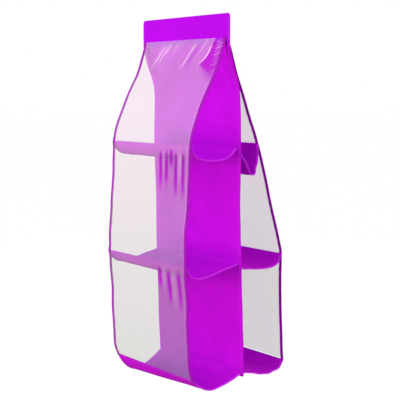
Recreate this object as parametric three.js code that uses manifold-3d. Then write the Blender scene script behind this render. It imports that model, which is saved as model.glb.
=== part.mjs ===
// Six-pocket hanging organiser: a non-woven divider under a stiffened header, with three sling
// shelves and a clear film window on each side, hung on a closet rod by two hook-and-loop straps.
// Millimetres, +z up, front -y. The origin is the centre of the closet rod.
import * as THREE from 'three';
import { mergeVertices } from 'three/addons/utils/BufferGeometryUtils.js';
import Module from 'manifold-3d';

const wasm = await Module();
wasm.setup();

// ---------------------------------------------------------------- driving dimensions
// Inside the bag, y is measured from the divider's plane and z from its bottom seam.
const ROD = { y: -16, z: 862 };
const DIVIDER_WIDTH = 350;
const WINDOW_WIDTH = 330;
const CLOTH = 1.0;
const FILM = 0.6;
const TAPE = 0.7;
const GAP = 0.3;
const TAPE_WIDTH = 9;
const HEM_WIDTH = 6;

// Seam heights: where the windows leave the header, and where each shelf meets its window.
const HEADER_SEAM = 834;
const TOP_SEAM = 577;
const MIDDLE_SEAM = 289;
const BOTTOM_SEAM = 1;

// The header and its board. The straps stand behind it; `back` is how far back their loops reach.
const HEADER = { front: -41, back: -36, bottom: 822, top: 892, corner: 9, wall: 1 };
const BOARD = { thickness: 2, bottom: 838, sideGap: 3, topGap: 2 };
const STRAP = { x: 80, width: 30, top: 883, bottom: 845, back: 4, tailTop: 872, bend: 14, turn: 5 };
const PATCH = { thickness: 1, bottom: 851, top: 871 };

const HEM_SETBACK = 2.2;     // how far short of its shelf's seams a hem tape stops
const CUT_MARGIN = 1;        // how far a cutting shape runs past what it cuts
const CURVE_STEPS = 5;       // steps to a quarter turn

// The front bottom shelf has stretched: it hangs lower and lower towards its left end.
const STRETCH = { drop: 20, front: -138, back: 10.2, lowest: 0.75, lengths: 8 };

// ---------------------------------------------------------------- profiles in the y-z plane
// The divider leans forward into the header and drifts back a little towards its bottom seam.
const DIVIDER = smooth([
  [-38.5, 836], [-38.5, 829], [-38.2, 820], [-34.5, 801], [-26, 771], [-13, 738], [-5, 704],
  [-3, 640], [-2, 440], [2, 270], [7, 130], [12, -10],
], 16);

// The loaded front bulges: its window slopes out to the top shelf, then hangs nearly straight.
const FRONT_WINDOW = smooth([
  [-42.7, HEADER_SEAM], [-46, 817], [-54, 794], [-70, 756], [-95, 710], [-121, 660],
  [-140, 614], [-148, TOP_SEAM], [-152, 500], [-157, 425], [-164, 350], [-165, MIDDLE_SEAM],
  [-160, 215], [-157, 127], [-154, 50], [-148, 20], [-138, BOTTOM_SEAM],
], 40);

// The back's top pocket is empty, so its window runs straight from the header to the middle shelf.
const BACK_WINDOW = smooth([
  [-34.3, HEADER_SEAM], [-30, 820], [0, 738], [32, 659], [65, TOP_SEAM], [85, 520], [118, 404],
  [145, 316], [150.5, MIDDLE_SEAM], [150, 220], [152, 133], [156, 61], [160, BOTTOM_SEAM + 2],
], 40);

// Each shelf runs from its seam on the divider (last point) out to its window (first point).
const FRONT_SHELVES = {
  top: smooth([
    [-145.9, TOP_SEAM - 2], [-139, 558], [-122, 546.5], [-94, 540.5], [-58, 540.5], [-34, 544],
    [-14, 558], [-4.3, 566],
  ], 12),
  middle: smooth([
    [-162.5, MIDDLE_SEAM - 2], [-157, 274], [-143, 262.5], [-122, 256.5], [-91, 259.5],
    [-51, 268], [-13, 275.5], [-0.2, 278],
  ], 12),
  bottom: smooth([
    [-135, BOTTOM_SEAM - 2], [-123, -10.5], [-100, -23], [-73, -26], [-36, -19], [-4, -9],
    [10.2, -3],
  ], 11),
};
const BACK_SHELVES = {
  top: [
    ...smooth([[62, TOP_SEAM - 2], [66.5, 549], [54, 498]], 5),
    ...smooth([[54, 498], [27, 529], [-1.3, 566]], 5).slice(1),
  ],
  middle: smooth([
    [147.4, MIDDLE_SEAM - 1], [145, 276], [136, 264.5], [118, 258.5], [92, 257], [52, 260.5],
    [16, 266], [3.4, 275],
  ], 12),
  bottom: smooth([
    [157.2, BOTTOM_SEAM + 1], [147, -12], [125, -18.5], [98, -20.5], [60, -11.5], [30, -4.5],
    [13.8, -2],
  ], 11),
};

// ---------------------------------------------------------------- materials
const finish = (color, roughness, extra = {}) =>
  new THREE.MeshStandardMaterial({ color, roughness, metalness: 0, ...extra });
const makeCloth = () => finish(0xc40ef0, 0.85);
const makeTape = () => finish(0xa41fc8, 0.7);
const makeFilm = () => finish(0xf0ecf2, 0.12, { transparent: true, opacity: 0.3 });
const makeBoard = () => finish(0xb9a688, 0.9);
const makePatch = () => finish(0x5d1272, 0.95);

// ---------------------------------------------------------------- helpers
/** A smooth line through [y, z] points, as evenly stepped Vector2s. */
function smooth(points, steps) {
  return new THREE.SplineCurve(points.map(([y, z]) => new THREE.Vector2(y, z))).getPoints(steps);
}

/** The stretch of a falling profile between two heights. */
function between(profile, high, low) {
  const pointAt = (height) => {
    const next = profile.findIndex((p) => p.y < height);
    const [above, below] = [profile[next - 1], profile[next]];
    return above.clone().lerp(below, (above.y - height) / (above.y - below.y));
  };
  const first = high >= profile[0].y ? profile[0] : pointAt(high);
  const last = low <= profile.at(-1).y ? profile.at(-1) : pointAt(low);
  const inside = profile.filter((p) => p.y < first.y - FILM && p.y > last.y + FILM);
  return [first, ...inside, last];
}

/** A profile made shorter (positive) or longer (negative) by a distance at both ends. */
function trimmed(profile, distance) {
  const ends = [profile[0], profile.at(-1)];
  const inner = [profile[1], profile.at(-2)];
  const moved = ends.map((end, i) => end.clone().add(inner[i].clone().sub(end).setLength(distance)));
  return [moved[0], ...profile.slice(1, -1), moved[1]];
}

/** One side of a profile, moved out by a distance along its mitred normals. */
function offset(profile, distance) {
  return profile.map((point, i) => {
    const before = profile[Math.max(i - 1, 0)];
    const after = profile[Math.min(i + 1, profile.length - 1)];
    const into = point.clone().sub(before).normalize();
    const out = after.clone().sub(point).normalize();
    const along = into.clone().add(out).normalize();
    const normal = new THREE.Vector2(-along.y, along.x);
    const mitre = Math.abs(along.dot(out.lengthSq() > 0 ? out : into));
    return point.clone().addScaledVector(normal, distance / mitre);
  });
}

/** A strip of cloth or film: its y-z profile thickened both ways and run along x. */
function strip(profile, thickness, x0, x1, stretched = false) {
  const outline = [...offset(profile, thickness / 2), ...offset(profile, -thickness / 2).reverse()];
  const geometry = new THREE.ExtrudeGeometry(new THREE.Shape(outline), {
    depth: x1 - x0, bevelEnabled: false, steps: stretched ? STRETCH.lengths : 1,
  });
  geometry.applyMatrix4(new THREE.Matrix4().makeBasis(
    new THREE.Vector3(0, 1, 0), new THREE.Vector3(0, 0, 1), new THREE.Vector3(1, 0, 0)));
  geometry.translate(x0, 0, 0);
  if (stretched) stretchDown(geometry);
  return geometry;
}

/** Lowers a shelf between its seams, in proportion to how far left each point lies. */
function stretchDown(geometry) {
  const position = geometry.attributes.position;
  for (let i = 0; i < position.count; i += 1) {
    const across = (position.getY(i) - STRETCH.front) / (STRETCH.back - STRETCH.front);
    const sag = Math.sin(Math.PI * THREE.MathUtils.clamp(across, 0, 1) ** STRETCH.lowest);
    const left = (WINDOW_WIDTH / 2 - position.getX(i)) / WINDOW_WIDTH;
    position.setZ(i, position.getZ(i) - STRETCH.drop * left * sag);
  }
}

/** A flat panel: an x-z outline run along y, from the face `front` to the face `back`. */
function panel(outline, front, back) {
  const geometry = new THREE.ExtrudeGeometry(outline, {
    depth: back - front, bevelEnabled: false, curveSegments: CURVE_STEPS,
  });
  geometry.applyMatrix4(new THREE.Matrix4().makeBasis(
    new THREE.Vector3(1, 0, 0), new THREE.Vector3(0, 0, 1), new THREE.Vector3(0, -1, 0)));
  return geometry.translate(0, back, 0);
}

/** An upright rectangle whose two top corners are rounded. */
function topRounded(halfWidth, bottom, top, radius) {
  const shape = new THREE.Shape();
  shape.moveTo(-halfWidth, bottom);
  shape.lineTo(halfWidth, bottom);
  shape.lineTo(halfWidth, top - radius);
  shape.absarc(halfWidth - radius, top - radius, radius, 0, Math.PI / 2, false);
  shape.absarc(-halfWidth + radius, top - radius, radius, Math.PI / 2, Math.PI, false);
  shape.closePath();
  return shape;
}

function toManifold(geometry) {
  const bare = geometry.clone();
  bare.deleteAttribute('normal');
  bare.deleteAttribute('uv');
  const merged = mergeVertices(bare, 1e-4);
  return new wasm.Manifold(new wasm.Mesh({
    numProp: 3,
    vertProperties: new Float32Array(merged.attributes.position.array),
    triVerts: new Uint32Array(merged.index.array),
  }));
}

/** A solid with a pocket cut out of it. */
function cut(solid, pocket) {
  const mesh = toManifold(solid).subtract(toManifold(pocket)).getMesh();
  const geometry = new THREE.BufferGeometry();
  geometry.setAttribute('position', new THREE.BufferAttribute(new Float32Array(mesh.vertProperties), 3));
  geometry.setIndex(new THREE.BufferAttribute(new Uint32Array(mesh.triVerts), 1));
  return geometry;
}

function named(name, geometry, material) {
  const mesh = new THREE.Mesh(geometry, material);
  mesh.name = name;
  return mesh;
}

/** Tape folded over a sheet's side edge: a channel that follows the sheet's profile. */
function foldedTape(name, profile, sheetThickness, width, side, stretched = false) {
  const slotThickness = sheetThickness + 2 * GAP;
  const edge = WINDOW_WIDTH / 2;
  const [outer0, outer1] = side > 0 ? [edge - width, edge] : [-edge, -edge + width];
  const [slot0, slot1] = side > 0 ? [outer0 - CUT_MARGIN, edge - TAPE] : [-edge + TAPE, outer1 + CUT_MARGIN];
  const body = strip(profile, slotThickness + 2 * TAPE, outer0, outer1, stretched);
  const slot = strip(trimmed(profile, -CUT_MARGIN), slotThickness, slot0, slot1, stretched);
  return named(name, cut(body, slot), makeTape());
}

const SIDES = { left: -1, right: 1 };
const SHEET_EDGE = WINDOW_WIDTH / 2 - TAPE - GAP;

// ---------------------------------------------------------------- sub-parts
/** The central sheet that every shelf is sewn to. */
function makeDivider() {
  return named('divider_panel', strip(DIVIDER, CLOTH, -DIVIDER_WIDTH / 2, DIVIDER_WIDTH / 2), makeCloth());
}

/** The folded cloth sleeve at the top, open below, and the board that keeps it flat. */
function makeHeader() {
  const header = new THREE.Group();
  const half = DIVIDER_WIDTH / 2;
  const outside = topRounded(half, HEADER.bottom, HEADER.top, HEADER.corner);
  const below = HEADER.bottom - CUT_MARGIN;
  const boardPocket = topRounded(
    half - HEADER.wall, below, HEADER.top - HEADER.wall, HEADER.corner - HEADER.wall);
  const dividerSlot = topRounded(half + CUT_MARGIN, below, DIVIDER[0].y + GAP, GAP);
  const [face, back] = [HEADER.front + HEADER.wall, HEADER.back - HEADER.wall];
  const withPocket = cut(panel(outside, HEADER.front, HEADER.back), panel(boardPocket, face, back));
  header.add(named('header_sleeve', cut(withPocket, panel(dividerSlot, face, back)), makeCloth()));

  const middle = (HEADER.front + HEADER.back) / 2;
  const board = topRounded(
    half - BOARD.sideGap, BOARD.bottom, HEADER.top - BOARD.topGap, HEADER.corner - BOARD.topGap);
  header.add(named('header_board',
    panel(board, middle - BOARD.thickness / 2, middle + BOARD.thickness / 2), makeBoard()));
  return header;
}

/** One side's clear film in three windows, with tape folded over its two side edges. */
function makeWindows(side, profile, tapeBreak) {
  const windows = new THREE.Group();
  const heights = [HEADER_SEAM, TOP_SEAM, MIDDLE_SEAM, BOTTOM_SEAM];
  ['top', 'middle', 'bottom'].forEach((tier, i) => {
    const upper = i === 0 ? HEADER_SEAM : heights[i] - GAP / 2;
    const stretch = between(profile, upper, heights[i + 1] + GAP / 2);
    windows.add(named(`${side}_window_${tier}`, strip(stretch, FILM, -SHEET_EDGE, SHEET_EDGE), makeFilm()));
  });
  for (const [hand, sign] of Object.entries(SIDES)) {
    const upper = between(profile, HEADER_SEAM, tapeBreak + GAP / 2);
    const lower = between(profile, tapeBreak - GAP / 2, BOTTOM_SEAM);
    windows.add(foldedTape(`${side}_tape_${hand}_upper`, upper, FILM, TAPE_WIDTH, sign));
    windows.add(foldedTape(`${side}_tape_${hand}_lower`, lower, FILM, TAPE_WIDTH, sign));
  }
  return windows;
}

/** One side's three sling shelves, each with a hem tape on both open ends. */
function makeShelves(side, profiles) {
  const shelves = new THREE.Group();
  for (const [tier, profile] of Object.entries(profiles)) {
    const name = `${side}_shelf_${tier}`;
    const stretched = name === 'front_shelf_bottom';
    shelves.add(named(name, strip(profile, CLOTH, -SHEET_EDGE, SHEET_EDGE, stretched), makeCloth()));
    const hemProfile = trimmed(profile, HEM_SETBACK);
    for (const [hand, sign] of Object.entries(SIDES)) {
      shelves.add(foldedTape(`${name}_hem_${hand}`, hemProfile, CLOTH, HEM_WIDTH, sign, stretched));
    }
  }
  return shelves;
}

/** The strap's side view: back over the rod, down behind it, under it and up the header's back. */
function strapProfile() {
  const start = HEADER.back + GAP + CLOTH / 2;
  const tail = HEADER.back + 3 * GAP + 2 * PATCH.thickness + CLOTH / 2;
  const line = new THREE.Path();
  line.moveTo(start, STRAP.top);
  line.lineTo(STRAP.back - STRAP.bend, STRAP.top);
  line.absarc(STRAP.back - STRAP.bend, STRAP.top - STRAP.bend, STRAP.bend, Math.PI / 2, 0, true);
  line.absarc(STRAP.back - STRAP.bend, STRAP.bottom + STRAP.bend, STRAP.bend, 0, -Math.PI / 2, true);
  line.absarc(tail + STRAP.turn, STRAP.bottom + STRAP.turn, STRAP.turn, -Math.PI / 2, -Math.PI, true);
  line.lineTo(tail, STRAP.tailTop);
  const points = line.getPoints(CURVE_STEPS);
  return points.filter((p, i) => i === 0 || p.distanceTo(points[i - 1]) > 0.01);
}

/** Two straps that close round the rod, each with its hook patch, and the loop patches they meet. */
function makeStraps() {
  const straps = new THREE.Group();
  const profile = strapProfile();
  const loopFace = HEADER.back + GAP;
  const hookFace = loopFace + PATCH.thickness + GAP;
  const patch = (y) => {
    const geometry = new THREE.BoxGeometry(STRAP.width, PATCH.thickness, PATCH.top - PATCH.bottom);
    return geometry.translate(0, y + PATCH.thickness / 2, (PATCH.top + PATCH.bottom) / 2);
  };
  for (const [hand, sign] of Object.entries(SIDES)) {
    const place = new THREE.Group();
    place.position.x = sign * STRAP.x;
    place.add(named(`hanging_strap_${hand}`,
      strip(profile, CLOTH, -STRAP.width / 2, STRAP.width / 2), makeTape()));
    place.add(named(`hook_patch_${hand}`, patch(hookFace), makePatch()));
    place.add(named(`loop_patch_${hand}`, patch(loopFace), makePatch()));
    straps.add(place);
  }
  return straps;
}

// ---------------------------------------------------------------- assembly
const organiser = new THREE.Group();
organiser.add(makeDivider());
organiser.add(makeHeader());
organiser.add(makeWindows('front', FRONT_WINDOW, TOP_SEAM));
organiser.add(makeWindows('back', BACK_WINDOW, MIDDLE_SEAM));
organiser.add(makeShelves('front', FRONT_SHELVES));
organiser.add(makeShelves('back', BACK_SHELVES));
organiser.add(makeStraps());
organiser.position.set(0, -ROD.y, -ROD.z);

export default organiser;
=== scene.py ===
import math

import bmesh
import bpy
import numpy as np
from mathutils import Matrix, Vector


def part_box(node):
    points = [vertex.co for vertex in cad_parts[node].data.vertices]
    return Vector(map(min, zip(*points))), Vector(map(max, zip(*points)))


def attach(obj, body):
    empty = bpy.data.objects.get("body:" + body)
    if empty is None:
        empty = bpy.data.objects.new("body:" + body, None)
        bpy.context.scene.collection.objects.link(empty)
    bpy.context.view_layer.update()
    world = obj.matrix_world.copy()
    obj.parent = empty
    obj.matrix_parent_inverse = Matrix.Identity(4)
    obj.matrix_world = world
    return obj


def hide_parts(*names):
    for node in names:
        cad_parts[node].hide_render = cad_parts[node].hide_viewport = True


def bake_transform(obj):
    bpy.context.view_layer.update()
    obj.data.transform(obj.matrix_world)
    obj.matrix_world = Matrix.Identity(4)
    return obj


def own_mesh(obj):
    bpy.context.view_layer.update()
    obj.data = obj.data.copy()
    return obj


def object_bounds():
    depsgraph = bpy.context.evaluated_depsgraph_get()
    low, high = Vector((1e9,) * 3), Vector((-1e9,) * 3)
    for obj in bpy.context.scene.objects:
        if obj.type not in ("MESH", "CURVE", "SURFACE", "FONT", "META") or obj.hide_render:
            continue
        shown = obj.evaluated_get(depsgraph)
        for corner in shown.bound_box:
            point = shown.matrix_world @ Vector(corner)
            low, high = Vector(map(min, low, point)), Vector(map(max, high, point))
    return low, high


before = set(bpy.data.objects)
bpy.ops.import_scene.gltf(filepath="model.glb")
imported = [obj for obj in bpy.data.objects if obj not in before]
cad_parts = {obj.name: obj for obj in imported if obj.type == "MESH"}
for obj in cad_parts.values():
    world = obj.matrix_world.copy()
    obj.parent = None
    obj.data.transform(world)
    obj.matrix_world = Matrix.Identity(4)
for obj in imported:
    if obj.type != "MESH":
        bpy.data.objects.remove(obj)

CAD_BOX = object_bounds()
MM = 0.001
SIDES = {"front": -1, "back": 1}     # which way each side faces along y
HANDS = {"left": -1, "right": 1}     # which way each end faces along x
TIERS = ("top", "middle", "bottom")
BREAKS = {"front": "top", "back": "middle"}     # the seam below which a side folds as one wall

# -------------------- measures taken from the frame
WINDOW_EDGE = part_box("front_tape_right_upper")[1].x
TAPE_WIDTH = WINDOW_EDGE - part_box("front_tape_right_upper")[0].x
HEM_WIDTH = WINDOW_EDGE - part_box("front_shelf_top_hem_right")[0].x
FILM_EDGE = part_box("front_window_top")[1].x

# -------------------- thicknesses and sewing
CLOTH = 0.9 * MM
FILM = 0.5 * MM
TAPE = 0.55 * MM
THREAD = 0.3 * MM     # radius of a stitch
STITCH = 3.0 * MM     # length of a stitch
STITCH_PITCH = 4.2 * MM
FLANGE = 5.0 * MM     # cloth turned up where a shelf is sewn to its neighbours
HEADER_CORNER = 9.0 * MM
SHARP = math.radians(50)     # a corner or edge that turns more than this is a sharp one


# -------------------- lines in the y-z plane
def distances(path):
    """How far along the path each of its points is."""
    return np.concatenate([[0], np.cumsum(np.linalg.norm(np.diff(path, axis=0), axis=1))])


def interpolated(place, along, rows):
    """Values at a place, between rows of them at the distances `along`."""
    return np.stack([np.interp(place, along, column) for column in rows.T], -1)


def centre_line(node, hand="left"):
    """The middle of a CAD strip's section at one end: its y-z points, from its high outer end."""
    vertices = np.array([v.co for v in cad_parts[node].data.vertices])
    reach = vertices[:, 0] * HANDS[hand]
    cap = np.unique(vertices[reach > reach.max() - 1e-5][:, 1:].round(6), axis=0)
    gaps = np.linalg.norm(cap[:, None] - cap[None], axis=2)
    np.fill_diagonal(gaps, 1)
    middles = list(np.unique(((cap + cap[gaps.argmin(1)]) / 2).round(6), axis=0))
    line = [middles.pop(max(range(len(middles)), key=lambda i: middles[i][1] + abs(middles[i][0])))]
    way = np.array([0.0, -1.0])
    while middles:
        steps = np.array(middles) - line[-1]
        lengths = np.linalg.norm(steps, axis=1)
        nearest = (lengths * (2 - steps @ way / lengths)).argmin()      # near, and straight ahead
        way = steps[nearest] / lengths[nearest]
        line.append(middles.pop(nearest))
    return line


def eased_corners(points, radius):
    """The same line with each sharp corner cut back by radius on both sides."""
    eased = [points[0]]
    for before, corner, after in zip(points, points[1:], points[2:]):
        into, out = corner - before, after - corner
        before_length, after_length = np.linalg.norm(into), np.linalg.norm(out)
        turn = math.acos(np.clip(into @ out / before_length / after_length, -1, 1))
        if turn < SHARP:
            eased.append(corner)
        else:
            eased.append(corner - into / before_length * min(radius, before_length / 2))
            eased.append(corner + out / after_length * min(radius, after_length / 2))
    return eased + [points[-1]]


def through(points, steps=12):
    """A smooth line through the points: centripetal Catmull-Rom."""
    p = np.array([2 * points[0] - points[1], *points, 2 * points[-1] - points[-2]])
    knots = np.concatenate([[0], np.cumsum(np.sqrt(np.linalg.norm(np.diff(p, axis=0), axis=1)))])
    fine = []
    for i in range(1, len(p) - 2):
        k0, k1, k2, k3 = knots[i - 1:i + 3]
        t = np.linspace(k1, k2, steps, endpoint=False)[:, None]
        a = (k1 - t) / (k1 - k0) * p[i - 1] + (t - k0) / (k1 - k0) * p[i]
        b = (k2 - t) / (k2 - k1) * p[i] + (t - k1) / (k2 - k1) * p[i + 1]
        c = (k3 - t) / (k3 - k2) * p[i + 1] + (t - k2) / (k3 - k2) * p[i + 2]
        d = (k2 - t) / (k2 - k0) * a + (t - k0) / (k2 - k0) * b
        e = (k3 - t) / (k3 - k1) * b + (t - k1) / (k3 - k1) * c
        fine.extend((k2 - t) / (k2 - k1) * d + (t - k1) / (k2 - k1) * e)
    return np.array(fine + [p[-2]])


class Profile:
    """A smooth line in the y-z plane, measured along its own length. Where a sheet's right end
    has a line of its own, the sheet runs evenly from the one to the other."""

    def __init__(self, points, facing, right=None):
        self.fine = through(points)
        self.along = distances(self.fine)
        self.length = self.along[-1]
        self.facing = facing
        self.right = right

    def at(self, s):
        return interpolated(s, self.along, self.fine)

    def normal(self, s):
        """The unit normal at s, on the side that `facing` picks."""
        s = np.asarray(s, float)
        reach = 1.5 * MM
        way = self.at(np.minimum(s + reach, self.length)) - self.at(np.maximum(s - reach, 0))
        way /= np.linalg.norm(way, axis=-1, keepdims=True)
        return np.stack([-way[..., 1], way[..., 0]], -1) * self.facing

    def at_height(self, z):
        """How far along a falling line the height z is."""
        return float(np.interp(-z, -self.fine[:, 1], self.along))

    def place_and_normal(self, x, s):
        place, out = self.at(s), self.normal(s)
        if self.right:
            share = ((np.asarray(x, float) + FILM_EDGE) / (2 * FILM_EDGE))[..., None]
            matched = np.asarray(s) * self.right.length / self.length
            place = place * (1 - share) + self.right.at(matched) * share
            out = out * (1 - share) + self.right.normal(matched) * share
        return place, out / np.linalg.norm(out, axis=-1, keepdims=True)

    def sheet(self, x, s, lift=0.0):
        """Points of a sheet on this line, lifted off it: rows along the line, columns across."""
        if np.ndim(s) < 2:
            x, s = np.meshgrid(np.asarray(x, float), np.asarray(s, float))
        raised = lift(x, s) if callable(lift) else np.full_like(x, lift)
        place, out = self.place_and_normal(x, s)
        return np.concatenate([x[..., None], place + out * raised[..., None]], -1)


def in_space(normals):
    """Normals in the y-z plane as x-y-z ones."""
    return np.pad(normals, ((0, 0), (1, 0)))


def smoothstep(value, low, high):
    t = np.clip((np.asarray(value, float) - low) / (high - low), 0, 1)
    return t * t * (3 - 2 * t)


def hump(value, rise, risen, fall, fallen):
    """0, then 1 between risen and fall, then 0 again."""
    return smoothstep(value, rise, risen) * (1 - smoothstep(value, fall, fallen))


def bell(value, middle, width):
    return np.exp(-((np.asarray(value, float) - middle) / width) ** 2)


def waves(value, pitch, seed, parts=5):
    """A smooth wandering wave between about -1 and 1, with the given mean pitch."""
    random = np.random.default_rng(seed)
    total = np.zeros_like(np.asarray(value, float))
    for scale, phase in zip(random.uniform(0.55, 1.7, parts), random.uniform(0, 2 * math.pi, parts)):
        total = total + np.sin(value / pitch * 2 * math.pi * scale + phase)
    return total / parts * 1.6


def spread(low, high, step, fine_ends=0.0):
    """Evenly spaced values, with one more near each end where an edge needs to stay crisp."""
    values = np.linspace(low, high, max(2, int(round(abs(high - low) / step)) + 1))
    if fine_ends:
        sign = np.sign(high - low)
        values = np.concatenate([[low, low + sign * fine_ends], values[1:-1],
                                 [high - sign * fine_ends, high]])
    return values


# -------------------- meshes
def finished_object(name, vertices, faces, material, uv=None):
    """A smooth-shaded object with crisp sharp edges. uv is each vertex's place on the flat cloth."""
    mesh = bpy.data.meshes.new(name)
    mesh.from_pydata([tuple(v) for v in vertices], [], faces)
    mesh.update()
    if uv is not None:
        layer = mesh.uv_layers.new(name="cut")
        index = np.zeros(len(mesh.loops), int)
        mesh.loops.foreach_get("vertex_index", index)
        layer.data.foreach_set("uv", np.asarray(uv, float)[index].ravel())
    b = bmesh.new()
    b.from_mesh(mesh)
    bmesh.ops.recalc_face_normals(b, faces=b.faces)
    for edge in b.edges:
        if len(edge.link_faces) == 2 and edge.calc_face_angle(0) > SHARP:
            edge.smooth = False
    for face in b.faces:
        face.smooth = True
    b.to_mesh(mesh)
    b.free()
    mesh.materials.append(material)
    made = bpy.data.objects.new(name, mesh)
    bpy.context.scene.collection.objects.link(made)
    return made


def solid_sheet(name, middle, thickness, material, cut):
    """A closed sheet around a grid of middle points. cut is the grid's (width, length) coordinates
    on the flat cloth, which the material's pattern follows."""
    rows, columns = middle.shape[:2]
    across = np.gradient(middle, axis=1)
    along = np.gradient(middle, axis=0)
    out = np.cross(across, along)
    out /= np.linalg.norm(out, axis=2, keepdims=True)
    half = (np.broadcast_to(thickness, (rows, columns))[..., None] / 2).copy()
    for border in (half[0], half[-1], half[:, 0], half[:, -1]):
        border *= 0.6
    vertices = np.concatenate([(middle + out * half).reshape(-1, 3),
                               (middle - out * half).reshape(-1, 3)])
    index = np.arange(rows * columns).reshape(rows, columns)
    quads = np.stack([index[:-1, :-1], index[:-1, 1:], index[1:, 1:], index[1:, :-1]], -1)
    quads = quads.reshape(-1, 4)
    count = rows * columns
    loop = np.concatenate([index[0, :-1], index[:-1, -1], index[-1, :0:-1], index[:0:-1, 0]])
    after = np.roll(loop, -1)
    rim = np.stack([loop, loop + count, after + count, after], -1)
    faces = np.concatenate([quads, quads[:, ::-1] + count, rim]).tolist()
    u, v = (np.broadcast_to(c, (rows, columns)).reshape(-1) for c in cut)
    uv = np.stack([np.tile(u, 2), np.tile(v, 2)], -1)
    return finished_object(name, vertices, faces, material, uv)


def fold_over(name, edge, inward, out, width, half_gap, material, wander):
    """Tape folded over a sheet's edge. edge is the line of edge points, inward points into the
    sheet and out is its normal at each point."""
    legs = np.linspace(1, 0.14, 6)
    turn = np.radians(np.linspace(90, -90, 7))
    inset = np.concatenate([legs * width, half_gap * (1 - np.cos(turn)), legs[::-1] * width])
    puff = 0.75 + 0.25 * np.sin(np.linspace(0, math.pi, 6))
    rise = np.concatenate([half_gap * puff, half_gap * np.sin(turn), -half_gap * puff[::-1]])
    strayed = 1 + 0.05 * wander[:, None] * (inset > width * 0.9)
    middle = (edge[:, None] + inward[:, None] * (inset * strayed)[..., None]
              + out[:, None] * rise[None, :, None])
    reach = distances(np.stack([inset, rise], -1))
    return solid_sheet(name, middle, TAPE, material, (reach[None], distances(edge)[:, None]))


def stitches(path, out):
    """Stitches that lie along a path, as (vertices, faces) of slim pointed lozenges."""
    along = distances(path)
    count = max(1, int(along[-1] / STITCH_PITCH))
    vertices, faces = [], []
    for k in range(count):
        middle = (k + 0.5) * along[-1] / count
        ends = [middle + share * STITCH for share in (-0.5, -0.3, 0.3, 0.5)]
        tail, ring0, ring1, tip = (interpolated(end, along, path) for end in ends)
        up = interpolated(middle, along, out)
        way = (tip - tail) / np.linalg.norm(tip - tail)
        side = np.cross(way, up)
        first = len(vertices)
        vertices.append(tail - up * THREAD)
        for ring in (ring0, ring1):
            vertices.extend([ring + up * THREAD, ring + side * THREAD,
                             ring - up * THREAD, ring - side * THREAD])
        vertices.append(tip - up * THREAD)
        for i in range(4):
            j = (i + 1) % 4
            faces.append([first, first + 1 + j, first + 1 + i])
            faces.append([first + 1 + i, first + 1 + j, first + 5 + j, first + 5 + i])
            faces.append([first + 9, first + 5 + i, first + 5 + j])
    return vertices, faces


def thread_object(name, rows, material):
    """All the stitch rows of one piece as one object. Each row is (path, normals)."""
    vertices, faces = [], []
    for path, out in rows:
        more_vertices, more_faces = stitches(np.asarray(path), np.asarray(out))
        first = len(vertices)
        vertices.extend(more_vertices)
        faces.extend([[first + i for i in face] for face in more_faces])
    return finished_object(name, vertices, faces, material)


# -------------------- materials
class Nodes:
    """A Principled material with small helpers for its pattern nodes."""

    def __init__(self, name, **settings):
        self.material = bpy.data.materials.new(name)
        self.material.use_nodes = True
        self.tree = self.material.node_tree
        self.shader = self.tree.nodes["Principled BSDF"]
        for socket, value in settings.items():
            self.shader.inputs[socket.replace("_", " ")].default_value = value

    def add(self, kind, inputs=None, **attributes):
        node = self.tree.nodes.new(kind)
        for key, value in attributes.items():
            setattr(node, key, value)
        for socket, value in (inputs or {}).items():
            if isinstance(value, bpy.types.NodeSocket):
                self.tree.links.new(value, node.inputs[socket])
            else:
                node.inputs[socket].default_value = value
        return node.outputs

    def cut(self, scale=(1, 1, 1), turn=0.0, lean=0.0):
        """The flat cloth's coordinates, in metres, turned, leaned and scaled."""
        source = self.add("ShaderNodeUVMap", uv_map="cut")["UV"]
        if lean:
            parts = self.add("ShaderNodeSeparateXYZ", {0: source})
            leaned = self.add("ShaderNodeMath", {0: parts["Y"], 1: lean, 2: parts["X"]},
                              operation="MULTIPLY_ADD")[0]
            source = self.add("ShaderNodeCombineXYZ", {"X": leaned, "Y": parts["Y"]})[0]
        return self.add("ShaderNodeMapping", {"Vector": source, "Rotation": (0, 0, turn),
                                              "Scale": scale})["Vector"]

    def noise(self, vector, scale, detail=2.0, roughness=0.5):
        return self.add("ShaderNodeTexNoise", {"Vector": vector, "Scale": scale, "Detail": detail,
                                               "Roughness": roughness})["Fac"]

    def ramp(self, value, low, high, to_low=0.0, to_high=1.0):
        return self.add("ShaderNodeMapRange", {"Value": value, "From Min": low, "From Max": high,
                                               "To Min": to_low, "To Max": to_high})["Result"]

    def math(self, operation, *values):
        return self.add("ShaderNodeMath", dict(enumerate(values)), operation=operation)[0]

    def mix(self, factor, first, second):
        return self.add("ShaderNodeMix", {"Factor": factor, "A": first, "B": second},
                        data_type="RGBA")["Result"]

    def bump(self, height, distance, strength=1.0):
        normal = self.add("ShaderNodeBump", {"Height": height, "Distance": distance,
                                             "Strength": strength})["Normal"]
        self.tree.links.new(normal, self.shader.inputs["Normal"])

    def put(self, socket, value):
        self.tree.links.new(value, self.shader.inputs[socket])


# -------------------- materials of this object
def speckled(nodes, light, dark, vector, mottle=18, clumps=210, grain=900):
    """Two tones of a colour, mixed by slow mottling, small clumps of fibre and single fibres."""
    slow = nodes.noise(vector, mottle, 3)
    clumped = nodes.noise(vector, clumps, 2, 0.6)
    fine = nodes.noise(vector, grain, 2, 0.7)
    both = nodes.math("MULTIPLY_ADD", clumped, 0.58, nodes.math("MULTIPLY", fine, 0.2))
    both = nodes.math("MULTIPLY_ADD", slow, 0.22, both)
    return nodes.mix(nodes.ramp(both, 0.36, 0.64), dark, light)


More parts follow.
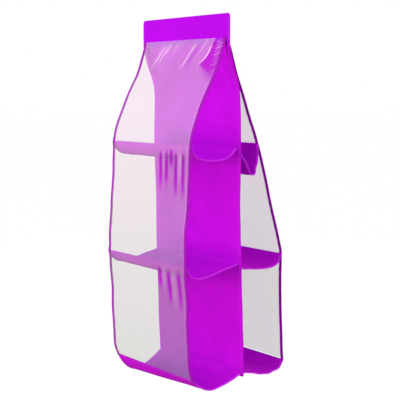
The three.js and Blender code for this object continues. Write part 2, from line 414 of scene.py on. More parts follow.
def nonwoven(name, light, dark):
    """Spun-bonded cloth: rows of pressed bonding points in a mat of fine fibres."""
    nodes = Nodes(name, Roughness=0.85, Specular_IOR_Level=0.04)
    flat = nodes.cut()
    nodes.put("Base Color", speckled(nodes, light, dark, flat))
    points = nodes.add("ShaderNodeTexVoronoi", {
        "Vector": nodes.cut(turn=math.radians(45)), "Scale": 620, "Randomness": 0.0,
    }, feature="F1", distance="MINKOWSKI")
    pillow = nodes.ramp(points["Distance"], 0.18, 0.5)
    fibres = nodes.noise(nodes.cut(scale=(1, 0.35, 1)), 2400, 3, 0.7)
    nodes.bump(nodes.math("MULTIPLY_ADD", fibres, 0.45, pillow), 0.12 * MM, 0.8)
    return nodes.material


def woven_tape(name, light, dark, rib=0.9 * MM):
    """A narrow ribbed binding: crosswise ribs with fine lengthwise warp between them."""
    nodes = Nodes(name, Roughness=0.7, Specular_IOR_Level=0.12)
    flat = nodes.cut()
    nodes.put("Base Color", speckled(nodes, light, dark, flat, 40, 300, 1500))
    ribs = nodes.add("ShaderNodeTexWave", {
        "Vector": flat, "Scale": 0.314 / rib, "Distortion": 0.6, "Detail": 1.0, "Detail Scale": 3.0,
    }, wave_type="BANDS", bands_direction="Y")["Fac"]
    warp = nodes.add("ShaderNodeTexWave", {
        "Vector": flat, "Scale": 0.5 / rib, "Distortion": 0.4,
    }, wave_type="BANDS", bands_direction="X")["Fac"]
    nodes.bump(nodes.math("MULTIPLY_ADD", warp, 0.35, ribs), 0.1 * MM, 0.7)
    return nodes.material


def clear_film(name):
    """Soft clear vinyl: thin and milky, with a painted sheen where it is creased, beside its tapes and
    along the fine streaks that run down and to the left from the header, and painted shade in its
    deepest flutes. Its colour has painted light: pinker and lighter near the top, greyer lower down."""
    nodes = Nodes(name, Roughness=0.1, IOR=1.45, Specular_IOR_Level=0.5)
    down = nodes.add("ShaderNodeSeparateXYZ", {0: nodes.cut()})["Y"]
    # fine streaks down and to the left from the header: they carry a painted sheen, and a small bump
    streaks = nodes.noise(nodes.cut(scale=(1, 0.05, 1), lean=0.52), 190, 2, 0.6)
    streaks = nodes.ramp(streaks, 0.56, 0.63)
    grouped = nodes.ramp(nodes.noise(nodes.cut(scale=(1, 0.2, 1), lean=0.52), 17, 1), 0.42, 0.58)
    fading = nodes.math("MULTIPLY", grouped, nodes.ramp(down, 0.085, 0.015))
    streaks = nodes.math("MULTIPLY", streaks, fading)
    # how milky the film is, also carrying the painted sheen of creases, streaks and tape edges and the
    # painted shade of the deepest flutes
    creased = nodes.add("ShaderNodeAttribute", attribute_name="haze_sheen_and_shade")["Fac"]
    cloudy = nodes.noise(nodes.cut(scale=(1, 0.3, 1)), 14, 3)
    haze_sheen_and_shade = nodes.math("MULTIPLY_ADD", nodes.math("SUBTRACT", cloudy, 0.5), 0.22, creased)
    haze_sheen_and_shade = nodes.math("MULTIPLY_ADD", streaks, 0.5, haze_sheen_and_shade)
    # painted light: the film is painted pinker and lighter near the top, as if lit from above and by
    # the cloth, and greyer and darker lower down
    lower = nodes.ramp(down, 0.22, 0.80)
    veil_with_painted_light = nodes.mix(lower, (0.55, 0.37, 0.555, 1), (0.195, 0.215, 0.2, 1))
    # painted sheen: the whiter colour that creases, streaks and tape edges are painted with
    painted_sheen = nodes.mix(lower, (1.0, 0.80, 1.0, 1), (0.95, 0.78, 0.94, 1))
    lit = nodes.mix(nodes.ramp(haze_sheen_and_shade, -0.1, 1.1), veil_with_painted_light, painted_sheen)
    # painted shade: where the film is fluted deepest it is painted dark purple and a little more
    # opaque
    shaded = nodes.ramp(haze_sheen_and_shade, -1.2, -1.6)
    nodes.put("Base Color", nodes.mix(shaded, lit, (0.16, 0.0, 0.26, 1)))
    nodes.put("Alpha", nodes.math("MULTIPLY_ADD", shaded, 0.2, nodes.ramp(haze_sheen_and_shade, -1, 1, 0.02, 0.43)))
    height = nodes.math("MULTIPLY_ADD", streaks, 0.6, nodes.noise(nodes.cut(), 45, 2))
    nodes.bump(height, 0.5 * MM, 0.3)
    return nodes.material


def sewing_thread(name, colour):
    """Twisted polyester thread."""
    nodes = Nodes(name, Roughness=0.5, Specular_IOR_Level=0.3)
    place = nodes.add("ShaderNodeTexCoord")["Object"]
    nodes.put("Base Color", nodes.mix(nodes.ramp(nodes.noise(place, 700, 2), 0.3, 0.7),
                                      colour, tuple(0.7 * c for c in colour[:3]) + (1,)))
    nodes.bump(nodes.noise(place, 3500, 1), 0.05 * MM, 0.6)
    return nodes.material


def grey_board(name):
    """Grey-brown chipboard, for the stiffener inside the header."""
    nodes = Nodes(name, Roughness=0.9, Specular_IOR_Level=0.1)
    place = nodes.add("ShaderNodeTexCoord")["Object"]
    flecks = nodes.ramp(nodes.noise(place, 650, 4, 0.75), 0.42, 0.6)
    nodes.put("Base Color", nodes.mix(flecks, (0.36, 0.28, 0.19, 1), (0.52, 0.42, 0.31, 1)))
    nodes.bump(flecks, 0.1 * MM, 0.4)
    return nodes.material


def pile(name, colour, coarse):
    """Hook-and-loop tape: stiff hooks in rows, or a soft tangle of loops."""
    nodes = Nodes(name, Roughness=0.8, Specular_IOR_Level=0.15)
    flat = nodes.cut()
    tufts = nodes.add("ShaderNodeTexVoronoi", {
        "Vector": flat, "Scale": 650 if coarse else 1400, "Randomness": 0.1 if coarse else 1.0,
    }, feature="F1")["Distance"]
    height = nodes.ramp(tufts, 0.0, 0.55, 1, 0)
    # painted shade: the pile is darker low down between its tufts
    nodes.put("Base Color", nodes.mix(height, tuple(0.35 * c for c in colour[:3]) + (1,), colour))
    nodes.bump(height, 0.5 * MM, 0.9)
    return nodes.material


PURPLE = (0.62, 0.0034, 0.86, 1)
PURPLE_DEEP = (0.44, 0.0022, 0.63, 1)
cloth = nonwoven("nonwoven_cloth", PURPLE, PURPLE_DEEP)
# the same cloth as the rest, painted darker and bluer on the header to offset the stronger, bluer
# light that falls there
header_cloth_painted_darker = nonwoven("header_cloth_painted_darker", (0.465, 0.002, 0.82, 1), (0.335, 0.001, 0.60, 1))
tape = woven_tape("edge_tape", (0.37, 0.006, 0.50, 1), (0.26, 0.005, 0.37, 1))
# the hem tape's own lighter tone, painted brighter still for the highlight along the shelves' hem
# edges
hem_tape_painted_bright = woven_tape("hem_tape_painted_bright", (0.68, 0.025, 1.0, 1), (0.56, 0.016, 0.88, 1))
webbing = woven_tape("strap_webbing", (0.42, 0.006, 0.64, 1), (0.30, 0.005, 0.48, 1), 1.3 * MM)
film = clear_film("clear_film")
thread = sewing_thread("sewing_thread", (0.80, 0.22, 0.92, 1))
tape_thread = sewing_thread("tape_thread", (0.50, 0.02, 0.66, 1))
hem_thread = sewing_thread("hem_thread", (0.70, 0.04, 0.96, 1))
hook_pile = pile("hook_pile", (0.20, 0.010, 0.32, 1), True)
loop_pile = pile("loop_pile", (0.26, 0.012, 0.40, 1), False)


# -------------------- sheets on their profiles
class Sheet:
    """A piece of sheet on a profile, from s0 to s1 along it. unevenness(x, s) is how far its
    surface strays from the profile, and lets tapes and stitches follow it."""

    def __init__(self, profile, s0, s1, unevenness):
        self.profile, self.s0, self.s1, self.unevenness = profile, s0, s1, unevenness

    def grid(self, x, s, above=0.0):
        return self.profile.sheet(x, s, lambda gx, gs: self.unevenness(gx, gs) + above)

    def normals(self, x, s):
        return in_space(self.profile.place_and_normal(np.full(len(s), float(x)), np.asarray(s))[1])

    def seam_row(self, s, half_width, above):
        """A stitch row across the sheet at s, and its normals."""
        x = spread(-half_width, half_width, 6 * MM)
        path = self.grid(x, [s], above)[0]
        return path, np.repeat(self.normals(0, [s]), len(path), 0) * np.sign(above)

    def edge_row(self, x, s0, s1, above):
        """A stitch row along the sheet at x, and its normals."""
        s = spread(s0, s1, 5 * MM)
        return self.grid([x], s, above)[:, 0], self.normals(x, s) * np.sign(above)

    def build(self, name, step_x, step_s, thickness, material, half_width, values=None, corner=0.0):
        x, s = np.meshgrid(spread(-half_width, half_width, step_x, 1.2 * MM),
                           spread(self.s0, self.s1, step_s, 1.2 * MM))
        if corner:
            near_end = np.clip((np.abs(x) - half_width + corner) / corner, 0, 1)
            s = s - corner * (1 - np.sqrt(1 - near_end ** 2)) * (s - self.s0) / (self.s1 - self.s0)
        thickness = thickness(x, s) if callable(thickness) else thickness
        made = solid_sheet(name, self.grid(x, s), thickness, material, (x, s))
        if values:
            layer = made.data.attributes.new("haze_sheen_and_shade", "FLOAT", "POINT")
            layer.data.foreach_set("value", np.tile(values(x, s).ravel(), 2).astype(np.float32))
        return made

    def bound(self, name, width, thickness, material, s0, s1, slack, seeds, row_inset, row_gap):
        """Tape folded over both side edges, and its stitch rows. name has a gap for the hand."""
        s = spread(s0, s1, 4 * MM)
        half_gap = (thickness + TAPE) / 2 + slack
        clear = thickness / 2 + TAPE + row_gap
        tapes, rows = [], []
        for (hand, sign), seed in zip(HANDS.items(), seeds):
            x = sign * (WINDOW_EDGE - TAPE / 2)
            inward = np.tile([-sign, 0.0, 0.0], (len(s), 1))
            tapes.append(fold_over(name.format(hand), self.grid([x], s)[:, 0], inward,
                                   self.normals(x, s), width - TAPE / 2, half_gap, material,
                                   waves(s, 30 * MM, seed)))
            for above in (clear, -clear):
                rows.append(self.edge_row(sign * (WINDOW_EDGE - width + row_inset), s0, s1, above))
        return tapes, rows


# -------------------- films
class Crease:
    """A crease in the film, from s0 to s1 down it and running to the side. In millimetres."""

    def __init__(self, x, s0, s1, lean, width, depth, haze_sheen_and_shade):
        self.x, self.s0, self.s1, self.lean = x * MM, s0 * MM, s1 * MM, lean
        self.width, self.depth, self.haze_sheen_and_shade = width * MM, depth * MM, haze_sheen_and_shade

    def strength(self, x, s):
        """1 along the crease, fading to 0 beside it and at its ends."""
        reach = self.s1 - self.s0
        ends = hump(s, self.s0, self.s0 + 0.25 * reach, self.s1 - 0.45 * reach, self.s1)
        return bell(x - self.lean * (s - self.s0), self.x, self.width) * ends


def film_unevenness(seams, creases, seed, curl):
    """Slow waves across the film, still at its seams, with the creases standing out of it. Its
    left edge curls in by `curl`."""
    def uneven(x, s):
        edge = smoothstep(WINDOW_EDGE - np.abs(x), 9 * MM, 34 * MM)
        still = 1.0
        for seam in seams:
            still = still * (1 - bell(s, seam, 16 * MM))
        across = waves(x, 150 * MM, seed) * waves(s, 330 * MM, seed + 1) * 2.4 * MM
        flutes = waves(x + 0.1 * s, 42 * MM, seed + 2) * waves(s, 260 * MM, seed + 3) * 0.7 * MM
        tape_left = waves(s, 140 * MM, seed + 4) * MM
        tape_right = waves(s, 140 * MM, seed + 5) * MM
        share = (x / WINDOW_EDGE + 1) / 2
        lift = (tape_left * (1 - share) + tape_right * share + (across + flutes) * edge) * still
        near_seam = sum(bell(s, seam, 9 * MM) for seam in seams)
        rolled = smoothstep(-x, WINDOW_EDGE - 19 * MM, WINDOW_EDGE + 5 * MM)
        lift = lift - curl * rolled * (1 - near_seam) * smoothstep(s, 40 * MM, 120 * MM)
        for crease in creases:
            lift = lift + crease.depth * crease.strength(x, s) * edge
        return lift
    return uneven


def film_haze_sheen_and_shade(creases, bottom, near_corner):
    """How milky the film is at each point, with painted sheen on creases and beside the tapes and
    painted shade in the deepest flutes; clearer, with a little painted shade, where pressed against
    the bottom shelf's cloth."""
    pressed = bottom - FLANGE

    def haze_sheen_and_shade(x, s):
        total = np.zeros_like(x)
        for crease in creases:
            total = total + crease.haze_sheen_and_shade * crease.strength(x, s)
        # a painted highlight along the film beside each tape
        total = total + 0.3 * bell(np.abs(x), WINDOW_EDGE - TAPE_WIDTH - 2 * MM, 2.5 * MM)
        # where the film is pressed on the cloth it is clearer, and a painted shade begins
        total = total - 1.25 * smoothstep(s, pressed - 3 * MM, pressed + 1 * MM)
        if near_corner:
            total = total - 1.15 * clear_corner(x, s)
            total = total + 2.6 * corner_crease_highlight(x, s) + 2.4 * corner_ruffle_glints(x, s)
        return np.clip(total, -2, 1.2)
    return haze_sheen_and_shade


def window_profile(side):
    """The whole film of one side, from the header seam to the bottom seam."""
    line = []
    for tier in TIERS:
        stretch = centre_line(f"{side}_window_{tier}")
        line.extend(stretch[1:] if line else stretch)
    kept = [line[0]]
    for point in line[1:]:
        if np.linalg.norm(point - kept[-1]) > 6 * MM:
            kept.append(point)
    kept[-1] = line[-1]
    return Profile(kept, facing=SIDES[side])


WINDOWS = {side: window_profile(side) for side in SIDES}


def seam_at(side, tier):
    """How far down the film the seam at the foot of a window is."""
    if tier == "bottom":
        return WINDOWS[side].length
    return WINDOWS[side].at_height(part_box(f"{side}_window_{tier}")[0].z)


# Creases fan down and to the left from the header, where the film takes the bag's weight.
# The last number of each crease paints a sheen along it; a negative one clears the film, and far
# enough below zero paints shade.
FRONT_CREASES = [
    Crease(-64, 3, 84, -0.55, 3.5, 1.5, 0.75),
    Crease(-50, 2, 70, -0.52, 3.0, 1.3, 0.65),
    Crease(-41, 2, 46, -0.6, 2.6, 0.8, 0.5),
    Crease(-14, 2, 40, -0.55, 2.6, 0.8, 0.4),
    Crease(2, 2, 34, -0.5, 2.4, 0.7, 0.35),
    Crease(58, 3, 92, -0.52, 3.4, 1.6, 0.8),
    Crease(71, 8, 84, -0.5, 3.6, -1.4, -0.7),
]
# Below the upper two seams hang short flutes, with painted shade in them, and soft bands with a
# painted sheen.
BELOW_SEAMS = {     # how far the flutes lean, flutes as (x, reach), bands as (x, reach, width)
    "top": (0.03, ((46, 120), (69, 110), (106, 135), (134, 140), (88, 60)),
            ((57, 95, 6), (120, 110, 8))),
    "middle": (0.02, ((94, 110), (133, 120), (58, 70)), ((112, 120, 9), (76, 80, 6))),
}
for below_tier, (lean, flutes, bands) in BELOW_SEAMS.items():
    seam = seam_at("front", below_tier) / MM
    for x, reach in flutes:
        FRONT_CREASES.append(Crease(x, seam + 8, seam + reach, lean, 5.5, -0.8, -1.8))
    for x, reach, width in bands:
        FRONT_CREASES.append(Crease(x, seam + 6, seam + reach, 0.02, width, 0.6, 0.25))
# Back creases get a painted sheen along them too.
BACK_CREASES = [
    Crease(x, 3, reach, lean, 3.5, 1.2, 0.4)
    for x, reach, lean in ((-110, 70, 0.3), (-62, 90, 0.4), (-20, 60, 0.3), (48, 80, -0.3),
                           (101, 95, -0.4))
]
CREASES = {"front": FRONT_CREASES, "back": BACK_CREASES}

# The outline of the clear near corner: millimetres across the film, and down from the header.
CORNER_EDGE = ((128, 0), (120, 12), (115, 24), (113, 37), (107, 50), (98, 59), (84, 66),
               (96, 82), (122, 106), (150, 128))


def corner_edge(s):
    """How far across the film the clear corner's outline is, at s down from the header."""
    across, down = zip(*CORNER_EDGE)
    return np.interp(s / MM, down, across) * MM


def clear_corner(x, s):
    """The near top corner of the front film lies tight, and is clear past one curved crease."""
    soft = (3 + 36 * smoothstep(s, 52 * MM, 90 * MM)) * MM
    inside = smoothstep(x, corner_edge(s), corner_edge(s) + soft)
    return inside * (1 - smoothstep(s, 66 * MM, 135 * MM))


def corner_crease_highlight(x, s):
    """A painted highlight along the crease that bounds the clear corner."""
    return bell(x, corner_edge(s), 1.6 * MM) * hump(s, 14 * MM, 26 * MM, 60 * MM, 68 * MM)


def corner_ruffle_glints(x, s):
    """Painted glints of small gathers beside the tape, in the clear corner."""
    beside = smoothstep(x, 132 * MM, 140 * MM) * hump(s, 4 * MM, 9 * MM, 70 * MM, 95 * MM)
    return beside * np.clip(waves(s + 0.4 * x, 13 * MM, 91), 0, 1)


def films():
    """Each side's film in an upper and a lower piece, split where its joint bends it."""
    made = {}
    for side in SIDES:
        profile = WINDOWS[side]
        seams = [0.0] + [seam_at(side, tier) for tier in TIERS]
        seed, curl = (11, 2.5 * MM) if side == "front" else (47, 0.0)
        uneven = film_unevenness(seams, CREASES[side], seed, curl)
        haze_sheen_and_shade = film_haze_sheen_and_shade(CREASES[side], profile.length, near_corner=side == "front")
        split = seam_at(side, BREAKS[side])
        for part, s0, s1 in (("upper", 0.0, split), ("lower", split, profile.length)):
            sheet = Sheet(profile, s0, s1, uneven)
            creased = (side, part) == ("front", "upper")     # it needs a finer mesh
            steps = (1.8 * MM, 2.5 * MM) if creased else (2.8 * MM, 4 * MM)
            piece = sheet.build(f"film_{side}_{part}", *steps, FILM, film, FILM_EDGE, haze_sheen_and_shade)
            piece.visible_shadow = False     # clear film lets the light through
            tapes, rows = sheet.bound(f"tape_{side}_{{}}_{part}", TAPE_WIDTH, FILM, tape, s0, s1,
                                      0.45 * MM, (59, 61), 1.6 * MM, 0.4 * MM)
            for seam in seams[1:]:
                at = profile.length - 3 * MM if seam == profile.length else seam - 2.5 * MM
                if s0 <= at <= s1:
                    rows.append(sheet.seam_row(at, WINDOW_EDGE - TAPE_WIDTH - 1 * MM, FILM / 2 * 1.3))
            sewn = thread_object(f"thread_{side}_{part}", rows, tape_thread)
            made[side, part] = (piece, tapes, sewn, (s0, s1))
    return made


# -------------------- divider and header
DIVIDER = Profile(centre_line("divider_panel"), facing=-1)
DIVIDER_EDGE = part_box("divider_panel")[1].x
HEM_FOLD = 9 * MM


def divider_unevenness(x, s):
    """One soft vertical fold near the right edge under the header, and slow waves lower down."""
    fold = bell(x, 141 * MM, 9 * MM) * hump(s, 12 * MM, 30 * MM, 70 * MM, 150 * MM) * -5.5 * MM
    beside = bell(x, 158 * MM, 10 * MM) * hump(s, 14 * MM, 40 * MM, 60 * MM, 140 * MM) * 2.2 * MM
    slow = waves(x, 210 * MM, 5) * waves(s, 420 * MM, 6) * 2.2 * MM
    ripple = waves(x + 0.2 * s, 60 * MM, 7) * waves(s, 180 * MM, 8) * 0.6 * MM
    held = 0.75 * smoothstep(s, DIVIDER.length - 60 * MM, DIVIDER.length)
    free = smoothstep(s, 16 * MM, 60 * MM) * (1 - held)
    return fold + beside + (slow + ripple) * free


def divider_thickness(x, s):
    """Twice as thick, nearly, where the side edges are folded over as hems."""
    hem = smoothstep(np.abs(x), DIVIDER_EDGE - HEM_FOLD - 0.6 * MM, DIVIDER_EDGE - HEM_FOLD + 0.6 * MM)
    return CLOTH * (1 + 0.9 * hem)


def divider():
    sheet = Sheet(DIVIDER, 0.0, DIVIDER.length, divider_unevenness)
    piece = sheet.build("divider", 3.5 * MM, 4 * MM, divider_thickness, cloth, DIVIDER_EDGE,
                        corner=7 * MM)
    rows = []
    below_header = DIVIDER.at_height(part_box("header_sleeve")[0].z) + 3 * MM
    for sign in HANDS.values():
        for above in (0.8 * CLOTH, -0.8 * CLOTH):
            rows.append(sheet.edge_row(sign * (DIVIDER_EDGE - HEM_FOLD + 1.8 * MM),
                                       below_header, DIVIDER.length - 4 * MM, above))
    return piece, thread_object("thread_divider", rows, thread)


def header():
    """The sleeve: one strip folded over the board, pinched and sewn at both ends."""
    low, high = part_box("header_sleeve")
    half_width, corner = high.x, HEADER_CORNER
    middle_y, half_depth = (low.y + high.y) / 2, (high.y - low.y) / 2 - CLOTH / 2
    x = np.concatenate([-half_width + (1 - np.cos(np.linspace(0, math.pi / 2, 9))) * corner,
                        spread(-half_width + corner, half_width - corner, 4 * MM)[1:-1],
                        half_width - (1 - np.cos(np.linspace(math.pi / 2, 0, 9))) * corner])
    round_off = np.clip((np.abs(x) - (half_width - corner)) / corner, 0, 1)
    top = high.z - CLOTH / 2 - corner * (1 - np.sqrt(1 - round_off ** 2))
    pinch = 1 - 0.62 * smoothstep(np.abs(x), half_width - 7 * MM, half_width - 1 * MM)
    depth = half_depth * pinch
    leg = [low.z + share * (top - depth - low.z) for share in np.linspace(0, 1, 19)]
    turn = np.radians(np.linspace(0, 180, 9))[1:-1]
    over = [top - depth + depth * math.sin(angle) for angle in turn]
    z = np.array(leg + over + leg[::-1])
    side = np.concatenate([np.full(len(leg), -1.0), -np.cos(turn), np.full(len(leg), 1.0)])
    y = middle_y + side[:, None] * depth
    gx = np.broadcast_to(x, y.shape)
    sign = np.sign(y - middle_y)
    flat_part = smoothstep(half_width - np.abs(gx), 6 * MM, 30 * MM)
    flat_part = flat_part * smoothstep(high.z - z, 2 * MM, 16 * MM)
    y = y + sign * flat_part * (
        0.35 * MM + 0.3 * MM * waves(gx, 95 * MM, 21) * waves(z, 60 * MM, 22))
    centre = len(x) // 2
    steps = np.abs(np.diff(z[:, centre])) + np.abs(np.diff(y[:, centre]))
    length = np.concatenate([[0], np.cumsum(steps)])
    piece = solid_sheet("header", np.stack([gx, y, z], -1), CLOTH, header_cloth_painted_darker,
                        (x[None], length[:, None]))
    heights = spread(low.z + 4 * MM, high.z - corner, 5 * MM)
    hem = spread(8 * MM - half_width, half_width - 8 * MM, 6 * MM)
    stitched = []
    for side in SIDES.values():
        face = middle_y + side * (half_depth + CLOTH / 2 + 0.1 * MM)
        pinched = middle_y + side * (half_depth * 0.8 + CLOTH / 2)
        paths = [[(hand * (half_width - 4 * MM), pinched, height) for height in heights]
                 for hand in HANDS.values()]
        paths.append([(place, face, low.z + 3 * MM) for place in hem])
        for path in paths:
            stitched.append((path, np.tile([0.0, side, 0.0], (len(path), 1))))
    return piece, thread_object("thread_header", stitched, thread)


# -------------------- shelves
def flattened_tip(line):
    """The empty back top shelf hangs as a V whose tip is pressed into a narrow flat fold."""
    tip = min(range(len(line)), key=lambda i: line[i][1])
    flat = [line[tip] + np.array([3.0, 0.5]) * MM, line[tip] + np.array([-9.0, 1.5]) * MM]
    return line[:tip] + flat + line[tip + 3:]


def shelf_profile(side, tier):
    """A sling shelf: sewn flat to the film, hanging between, and turned up on the divider."""
    window, out = WINDOWS[side], SIDES[side]
    seam = seam_at(side, tier)
    clear = FILM / 2 + TAPE + CLOTH / 2 + 0.15 * MM
    hold = [seam - 1.0 * MM, seam - 0.2 * MM] if tier != "bottom" else [seam - FLANGE, seam - 1.5 * MM]
    on_film = [window.at(s) - window.normal(s) * clear for s in hold]
    beside = CLOTH * 1.15 + 0.1 * MM
    ends = {}
    for hand in HANDS:
        line = centre_line(f"{side}_shelf_{tier}", hand)
        foot = DIVIDER.at_height(line[-1][1])
        on_divider = [DIVIDER.at(s) - DIVIDER.normal(s) * out * beside for s in (foot, foot - FLANGE)]
        middle = line[1:-1]
        if (side, tier) == ("back", "top"):
            middle = flattened_tip(middle)
        ends[hand] = eased_corners(on_film + middle + on_divider, 4 * MM)
    return Profile(ends["left"], facing=-out, right=Profile(ends["right"], facing=-out))


def shelf_unevenness(length, seed):
    """A slight sag, slow waves and small pulls near the seams, still at both of them."""
    def uneven(x, s):
        free = hump(s, 6 * MM, 24 * MM, length - 30 * MM, length - 8 * MM)
        sag = -1.2 * MM * bell(x, 0, 120 * MM)
        slow = waves(x, 120 * MM, seed) * waves(s, 90 * MM, seed + 1) * 1.6 * MM
        pulls = waves(x, 24 * MM, seed + 2) * 0.45 * MM * (
            bell(s, 14 * MM, 14 * MM) + bell(s, length - 16 * MM, 14 * MM))
        inside = smoothstep(WINDOW_EDGE - np.abs(x), 7 * MM, 20 * MM)
        hem = waves(s, 55 * MM, seed + 3) * 0.8 * MM
        return (hem + sag + (slow + pulls) * inside) * free
    return uneven


def shelves():
    """Every shelf, with the hem tapes on its two open ends."""
    made = {}
    for number, (side, tier) in enumerate((a, b) for a in SIDES for b in TIERS):
        profile = shelf_profile(side, tier)
        uneven = shelf_unevenness(profile.length, 100 + 10 * number)
        sheet = Sheet(profile, 0.0, profile.length, uneven)
        piece = sheet.build(f"shelf_{side}_{tier}", 4 * MM, 3.5 * MM, CLOTH, cloth, FILM_EDGE)
        hems, rows = sheet.bound(f"hem_{side}_{tier}_{{}}", HEM_WIDTH, CLOTH, hem_tape_painted_bright, 3 * MM,
                                 profile.length - FLANGE - 1 * MM, 0.35 * MM,
                                 (80 + number, 80 + number), 1.4 * MM, 0.37 * MM)
        rows.append(sheet.seam_row(profile.length - 2 * MM, WINDOW_EDGE - 8 * MM, CLOTH * 0.7))
        sewn = thread_object(f"thread_shelf_{side}_{tier}", rows, hem_thread)
        made[side, tier] = (piece, hems, sewn, profile)
    return made


# -------------------- hanging straps
def arc(y, z, radius, start, end, count):
    """Points of an arc in the y-z plane, from one angle in degrees to another."""
    angles = np.radians(np.linspace(start, end, count))
    return [np.array([y + radius * math.cos(a), z + radius * math.sin(a)]) for a in angles]


def strap_line(hand):
    """The strap's loop round the rod, in the y-z plane, from the header's back to its tail."""
    low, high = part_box(f"hanging_strap_{hand}")
    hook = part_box(f"hook_patch_{hand}")
    half = CLOTH / 2
    tail_y = hook[1].y + 0.3 * MM + half
    top, bottom, back = high.z - half, low.z + half, high.y - half
    bend, turn = 14 * MM, 5 * MM
    line = [np.array([low.y, top]), np.array([low.y + 8 * MM, top])]
    line += arc(back - bend, top - bend, bend, 90, 0, 6)
    line += arc(back - bend, bottom + bend, bend, 0, -90, 6)
    line += arc(tail_y + turn, bottom + turn, turn, -90, -180, 4)
    line += [np.array([tail_y, hook[0].z + 8 * MM]), np.array([tail_y, hook[1].z + 1 * MM])]
    return line


def straps():
    """Each strap, its stitches and its two pads of hook and loop."""
    made = {}
    for hand, sign in HANDS.items():
        low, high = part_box(f"hanging_strap_{hand}")
        middle_x, half = (low.x + high.x) / 2, (high.x - low.x) / 2

        def crown(gx, gs):
            return -0.25 * MM * ((gx - middle_x) / half) ** 4 + 0.2 * MM * waves(gs, 30 * MM, 200)

        profile = Profile(strap_line(hand), facing=1)
        x = spread(middle_x - half, middle_x + half, 3 * MM, 0.8 * MM)
        s = spread(0, profile.length, 2.5 * MM, 0.8 * MM)
        strap = solid_sheet(f"strap_{hand}", profile.sheet(x, s, crown), 1.1 * CLOTH, webbing,
                            ((x - middle_x)[None], s[:, None]))
        rows = []
        sewn_part = s[s > 3 * MM]
        out = in_space(profile.normal(sewn_part))
        for edge in (-1, 1):
            for above in (0.65 * CLOTH, -0.65 * CLOTH):
                path = profile.sheet([middle_x + edge * (half - 2 * MM)], sewn_part, above)[:, 0]
                rows.append((path, out * np.sign(above)))
        sewn = thread_object(f"thread_strap_{hand}", rows, thread)
        pads = {kind: pile_pad(f"{kind}_pad_{hand}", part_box(f"{kind}_patch_{hand}"), material,
                               300 + sign)
                for kind, material in (("hook", hook_pile), ("loop", loop_pile))}
        made[hand] = (strap, sewn, pads)
    return made


def pile_pad(name, box, material, seed):
    """A low pad with rounded corners and a rough top, on both faces of its tape."""
    low, high = box
    x = spread(low.x, high.x, 1.5 * MM, 0.4 * MM)
    z = spread(low.z, high.z, 1.5 * MM, 0.4 * MM)
    gx, gz = np.meshgrid(x, z)
    y = np.full_like(gx, (low.y + high.y) / 2)
    rim = np.minimum(np.minimum(gx - low.x, high.x - gx), np.minimum(gz - low.z, high.z - gz))
    rough = 1 - 0.12 * np.random.default_rng(seed).random(gx.shape)
    thickness = (high.y - low.y) * (0.55 + 0.4 * smoothstep(rim, 0, 1.5 * MM)) * rough
    return solid_sheet(name, np.stack([gx, y, gz], -1), thickness, material,
                       ((x - low.x)[None], (z - low.z)[:, None]))


# -------------------- motion
BEND_START = 20 * MM     # how far down the film starts to follow its side's lower wall


def bend_heights(side):
    """The heights between which a side's sloping film bends as its lower wall folds in."""
    return WINDOWS[side].at(BEND_START)[1], WINDOWS[side].at(seam_at(side, BREAKS[side]))[1]


def share_of_fold(side, seam):
    """How much of the lower wall's travel the film has at this seam."""
    start, end = bend_heights(side)
    return float(smoothstep(start - WINDOWS[side].at(seam)[1], 0, start - end))


def bend_with_fold(piece, side):
    """The film hangs from the header and joins the lower wall. Its placement is baked into its mesh;
    it does not bend.
    """
    start, end = bend_heights(side)
    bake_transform(piece)


def flatten_with_fold(piece):
    """The piece stays on the bag, with a mesh of its own."""
    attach(piece, "bag")
    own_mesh(piece)


for (film_side, film_part), (piece, tapes, sewn, stretch) in films().items():
    below = TIERS.index(BREAKS[film_side]) + 1
    tiers = TIERS[:below] if film_part == "upper" else TIERS[below:]
    for moved in (piece, *tapes, sewn):
        if film_part == "lower":
            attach(moved, f"{film_side}_wall")
        else:
            bend_with_fold(moved, film_side)
    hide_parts(*[f"{film_side}_window_{tier}" for tier in tiers])
    for hand, bound in zip(HANDS, tapes):
        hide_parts(f"{film_side}_tape_{hand}_{film_part}")

for (shelf_side, shelf_tier), (piece, hems, sewn, profile) in shelves().items():
    anchor_y = profile.at(profile.length)[0]
    sewn_y = min(profile.at([0.0, FLANGE - 1.5 * MM])[:, 0], key=abs)
    share = share_of_fold(shelf_side, seam_at(shelf_side, shelf_tier))
    for moved in (piece, *hems, sewn):
        flatten_with_fold(moved)
    node = f"{shelf_side}_shelf_{shelf_tier}"
    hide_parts(node)
    for hand, hem in zip(HANDS, hems):
        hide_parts(f"{node}_hem_{hand}")

divider_piece, divider_thread = divider()
header_piece, header_thread = header()
for moved in (divider_piece, divider_thread, header_piece, header_thread):
    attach(moved, "bag")
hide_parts("divider_panel")
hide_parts("header_sleeve")
board_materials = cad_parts["header_board"].data.materials
board_materials.clear()
board_materials.append(grey_board("stiffening_board"))

for hand, (strap, sewn, pads) in straps().items():
    for moved in (strap, sewn, pads["hook"]):
        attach(moved, f"strap_{hand}")
    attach(pads["loop"], "bag")
    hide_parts(f"hanging_strap_{hand}")
    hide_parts(f"hook_patch_{hand}")
    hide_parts(f"loop_patch_{hand}")


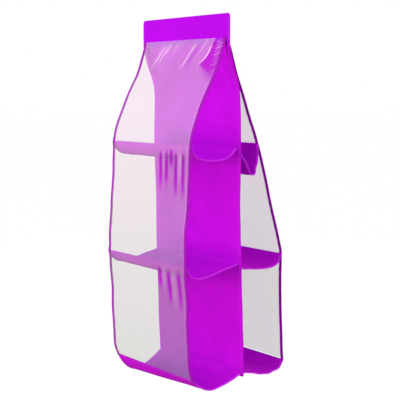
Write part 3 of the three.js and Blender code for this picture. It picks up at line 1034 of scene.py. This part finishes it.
# -------------------- studio
ROOM_LIGHT = (0.60, 0.55, 0.48, 1)     # what the white room sheds on the object
FLOOR_LIGHT = (0.48, 0.42, 0.34, 1)
WHITE = (1, 1, 1, 1)
FLOOR_DROP = 0.32     # how far below the object the floor is
FLOOR_RADIUS = 60
LAMPS = (     # name, place, size, watts, colour
    ("high", (-0.2, -1.6, 1.0), 1.4, 10, (0.80, 0.90, 1.28)),
    ("front", (-0.7, -2.2, -0.45), 1.3, 34, (1.0, 0.97, 0.80)),
    ("right", (2.4, -0.5, 0.0), 1.4, 22, (1.0, 0.97, 0.88)),
    ("overhead", (0.1, -0.3, 1.9), 1.6, 13.5, (1.12, 0.93, 0.98)),
    ("behind", (0.4, 2.4, 0.7), 1.4, 21, (1.12, 0.96, 0.88)),
)
CAMERA_PLACE = (1.891, -1.515, -0.1582)
CAMERA_AZIMUTH = math.radians(50.78)     # from -y towards +x
CAMERA_ELEVATION = math.radians(6.54)
CAMERA_LENS = 84.7


def light_on(tree, socket, shed):
    """Sheds one colour on the object, and is itself seen as white."""
    path = tree.nodes.new("ShaderNodeLightPath")
    choose = tree.nodes.new("ShaderNodeMix")
    choose.data_type = "RGBA"
    choose.inputs["A"].default_value = shed
    choose.inputs["B"].default_value = WHITE
    tree.links.new(path.outputs["Is Camera Ray"], choose.inputs["Factor"])
    tree.links.new(choose.outputs["Result"], socket)


def studio():
    scene = bpy.context.scene
    scene.view_settings.view_transform = "Standard"
    world = bpy.data.worlds.new("studio")
    world.use_nodes = True
    light_on(world.node_tree, world.node_tree.nodes["Background"].inputs["Color"], ROOM_LIGHT)
    scene.world = world

    bpy.ops.mesh.primitive_circle_add(vertices=96, radius=FLOOR_RADIUS, fill_type="NGON",
                                      location=(0, 0, CAD_BOX[0].z - FLOOR_DROP))
    floor = bpy.context.active_object
    floor.name = "floor"
    white = Nodes("pale_floor", Roughness=1.0, Specular_IOR_Level=0.0)
    white.shader.inputs["Base Color"].default_value = (0.05, 0.05, 0.05, 1)
    white.shader.inputs["Emission Strength"].default_value = 0.97
    light_on(white.tree, white.shader.inputs["Emission Color"], FLOOR_LIGHT)
    floor.data.materials.append(white.material)

    target = Vector((0, 0, (CAD_BOX[0].z + CAD_BOX[1].z) / 2))
    for name, place, size, power, colour in LAMPS:
        light = bpy.data.lights.new(name, "AREA")
        light.size, light.energy, light.color = size, power, colour
        lamp = bpy.data.objects.new(name, light)
        lamp.visible_camera = False
        lamp.location = place
        lamp.rotation_euler = (target - Vector(place)).to_track_quat("-Z", "Y").to_euler()
        scene.collection.objects.link(lamp)

    level = math.cos(CAMERA_ELEVATION)
    back = Vector((math.sin(CAMERA_AZIMUTH) * level, -math.cos(CAMERA_AZIMUTH) * level,
                   math.sin(CAMERA_ELEVATION)))
    camera = bpy.data.objects.new("camera", bpy.data.cameras.new("camera"))
    camera.location = CAMERA_PLACE
    camera.rotation_mode = "QUATERNION"
    camera.rotation_quaternion = (-back).to_track_quat("-Z", "Y")
    camera.data.lens, camera.data.sensor_width = CAMERA_LENS, 36
    scene.collection.objects.link(camera)
    scene.camera = camera


studio()
